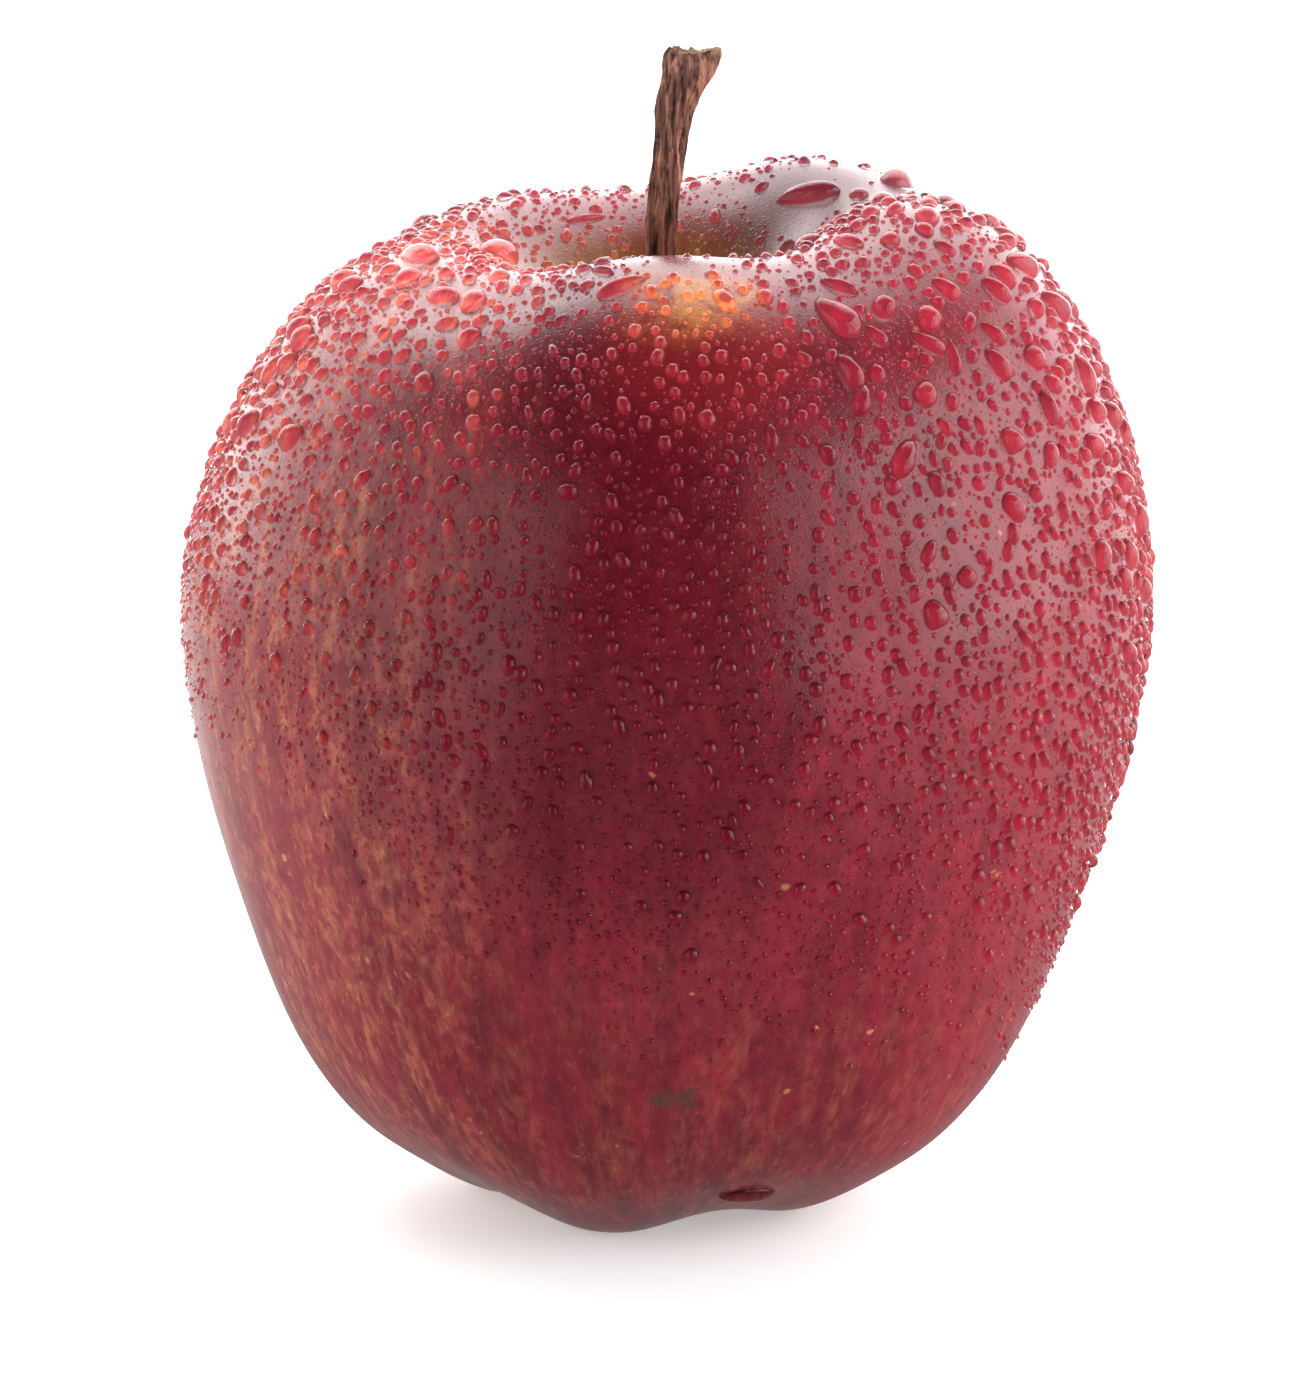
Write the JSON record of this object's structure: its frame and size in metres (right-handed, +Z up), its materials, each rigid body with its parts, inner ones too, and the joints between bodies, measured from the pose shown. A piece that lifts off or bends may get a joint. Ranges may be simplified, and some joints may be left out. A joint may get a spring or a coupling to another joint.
{
  "type": "apple",
  "caption": "Tall red apple with a lobed crown and base, a deep stalk cavity, a woody stalk and a dried calyx, standing on small flats of its feet.",
  "frame": {"origin": "on the resting surface, under the middle of the fruit's plan", "axes": "+Z up along the core, -Y the front, +X the front's right-hand side"},
  "size_m": [0.0796, 0.0798, 0.0954],
  "materials": {
    "skin": "satin waxy skin, crimson with orange streaks",
    "bark": "rough ridged dark brown bark",
    "sepal": "dry matt greyish brown leaf",
    "stamen": "dry matt dark brown threads",
    "water": "clear droplets on the skin, in the looks only"
  },
  "bodies": {
    "root": {"apple_fruit": "skin", "stalk": "bark", "sepal_1": "sepal", "sepal_2": "sepal", "sepal_3": "sepal", "sepal_4": "sepal", "sepal_5": "sepal", "stamen_tuft": "stamen"}
  },
  "joints": []
}
